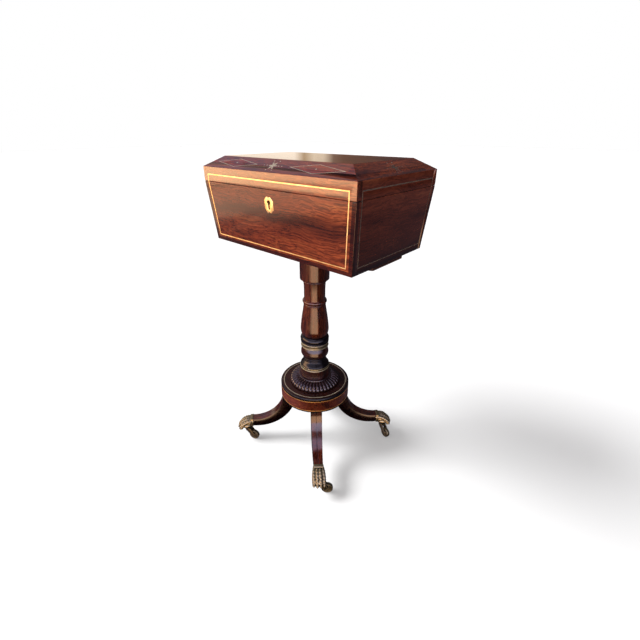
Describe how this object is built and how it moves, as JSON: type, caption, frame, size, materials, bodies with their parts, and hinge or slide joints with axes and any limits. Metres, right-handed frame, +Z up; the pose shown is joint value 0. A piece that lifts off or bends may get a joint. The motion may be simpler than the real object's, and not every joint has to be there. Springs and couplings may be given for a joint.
{
  "type": "teapoy",
  "caption": "Teapoy: tapered rosewood tea chest with a hinged hipped lid on a turned column, round platform and sabre legs with lion-paw caps and swivelling casters.",
  "frame": {"origin": "on the floor, under the middle of the column", "axes": "+Z up, +Y to the back where the lid is hinged, +X to the right seen from the front"},
  "size_m": [0.416, 0.3262, 0.76],
  "materials": {
    "rosewood": "french polished rosewood",
    "ebonised_wood": "ebonised, polished",
    "carcase_wood": "stained softwood",
    "brass": "polished brass",
    "cast_brass": "cast brass, aged",
    "steel": "dull steel",
    "velvet": "worn velvet",
    "glass": "clear glass"
  },
  "bodies": {
    "stand": {"case_front": "rosewood", "case_back": "rosewood", "case_left": "rosewood", "case_right": "rosewood", "case_bottom": "carcase_wood", "fitted_tray": "rosewood", "case_stringing": "brass", "escutcheon": "brass", "lock_case": "brass", "case_hinge_leaves": "brass", "hinge_pins": "brass", "case_hinge_screws": "brass", "bearer": "carcase_wood", "bearer_screws": "steel", "column_shaft": "rosewood", "column_torus": "ebonised_wood", "column_rings": "brass", "column_knop": "rosewood", "column_neck": "ebonised_wood", "column_foot": "rosewood", "gadroon_collar": "ebonised_wood", "platform": "rosewood", "platform_stringing": "brass", "leg_front_left": "rosewood", "paw_cap_front_left": "cast_brass", "leg_front_right": "rosewood", "paw_cap_front_right": "cast_brass", "leg_back_right": "rosewood", "paw_cap_back_right": "cast_brass", "leg_back_left": "rosewood", "paw_cap_back_left": "cast_brass"},
    "lid": {"lid_front": "rosewood", "lid_back": "rosewood", "lid_left": "rosewood", "lid_right": "rosewood", "lid_top": "rosewood", "lid_lining": "velvet", "lid_inlay": "brass", "link_plate": "brass", "lid_hinge_leaves": "brass", "lid_hinge_screws": "brass"},
    "lock_bolt": {"lock_bolt": "brass"},
    "canister_left": {"canister_left": "rosewood"},
    "canister_cover_left": {"canister_cover_left": "rosewood"},
    "bowl_left": {"bowl_left": "glass"},
    "canister_right": {"canister_right": "rosewood"},
    "canister_cover_right": {"canister_cover_right": "rosewood"},
    "bowl_right": {"bowl_right": "glass"},
    "caster_front_left": {"caster_horn_front_left": "cast_brass", "caster_axle_front_left": "cast_brass"},
    "wheel_front_left": {"caster_wheel_front_left": "cast_brass"},
    "caster_front_right": {"caster_horn_front_right": "cast_brass", "caster_axle_front_right": "cast_brass"},
    "wheel_front_right": {"caster_wheel_front_right": "cast_brass"},
    "caster_back_right": {"caster_horn_back_right": "cast_brass", "caster_axle_back_right": "cast_brass"},
    "wheel_back_right": {"caster_wheel_back_right": "cast_brass"},
    "caster_back_left": {"caster_horn_back_left": "cast_brass", "caster_axle_back_left": "cast_brass"},
    "wheel_back_left": {"caster_wheel_back_left": "cast_brass"}
  },
  "joints": [
    {"name": "lid_hinge", "type": "hinge", "parent": "stand", "child": "lid", "pos_m": [0, 0.1353, 0.709], "axis": [-1, 0, 0], "range_deg": [0, 98]},
    {"name": "lock_bolt_slide", "type": "slide", "parent": "stand", "child": "lock_bolt", "axis": [1, 0, 0], "range_m": [0, 0.006]},
    {"name": "canister_lift_left", "type": "slide", "parent": "stand", "child": "canister_left", "axis": [0, 0, 1], "range_m": [0, 0.016]},
    {"name": "canister_cover_lift_left", "type": "slide", "parent": "canister_left", "child": "canister_cover_left", "axis": [0, 0, 1], "range_m": [0, 0.016]},
    {"name": "bowl_lift_left", "type": "slide", "parent": "stand", "child": "bowl_left", "axis": [0, 0, 1], "range_m": [0, 0.034]},
    {"name": "canister_lift_right", "type": "slide", "parent": "stand", "child": "canister_right", "axis": [0, 0, 1], "range_m": [0, 0.016]},
    {"name": "canister_cover_lift_right", "type": "slide", "parent": "canister_right", "child": "canister_cover_right", "axis": [0, 0, 1], "range_m": [0, 0.016]},
    {"name": "bowl_lift_right", "type": "slide", "parent": "stand", "child": "bowl_right", "axis": [0, 0, 1], "range_m": [0, 0.034]},
    {"name": "caster_swivel_front_left", "type": "hinge", "parent": "stand", "child": "caster_front_left", "pos_m": [-0.1393, -0.1393, 0.0375], "axis": [0, 0, 1], "continuous": true},
    {"name": "wheel_spin_front_left", "type": "hinge", "parent": "caster_front_left", "child": "wheel_front_left", "pos_m": [-0.11997, -0.13109, 0.0145], "axis": [-0.3907, 0.9205, 0], "continuous": true},
    {"name": "caster_swivel_front_right", "type": "hinge", "parent": "stand", "child": "caster_front_right", "pos_m": [0.1393, -0.1393, 0.0375], "axis": [0, 0, 1], "continuous": true},
    {"name": "wheel_spin_front_right", "type": "hinge", "parent": "caster_front_right", "child": "wheel_front_right", "pos_m": [0.15539, -0.1258, 0.0145], "axis": [-0.6428, 0.766, 0], "continuous": true},
    {"name": "caster_swivel_back_right", "type": "hinge", "parent": "stand", "child": "caster_back_right", "pos_m": [0.1393, 0.1393, 0.0375], "axis": [0, 0, 1], "continuous": true},
    {"name": "wheel_spin_back_right", "type": "hinge", "parent": "caster_back_right", "child": "wheel_back_right", "pos_m": [0.15938, 0.13316, 0.0145], "axis": [0.2924, 0.9563, 0], "continuous": true},
    {"name": "caster_swivel_back_left", "type": "hinge", "parent": "stand", "child": "caster_back_left", "pos_m": [-0.1393, 0.1393, 0.0375], "axis": [0, 0, 1], "continuous": true},
    {"name": "wheel_spin_back_left", "type": "hinge", "parent": "caster_back_left", "child": "wheel_back_left", "pos_m": [-0.11876, 0.14367, 0.0145], "axis": [-0.2079, 0.9781, 0], "continuous": true}
  ]
}
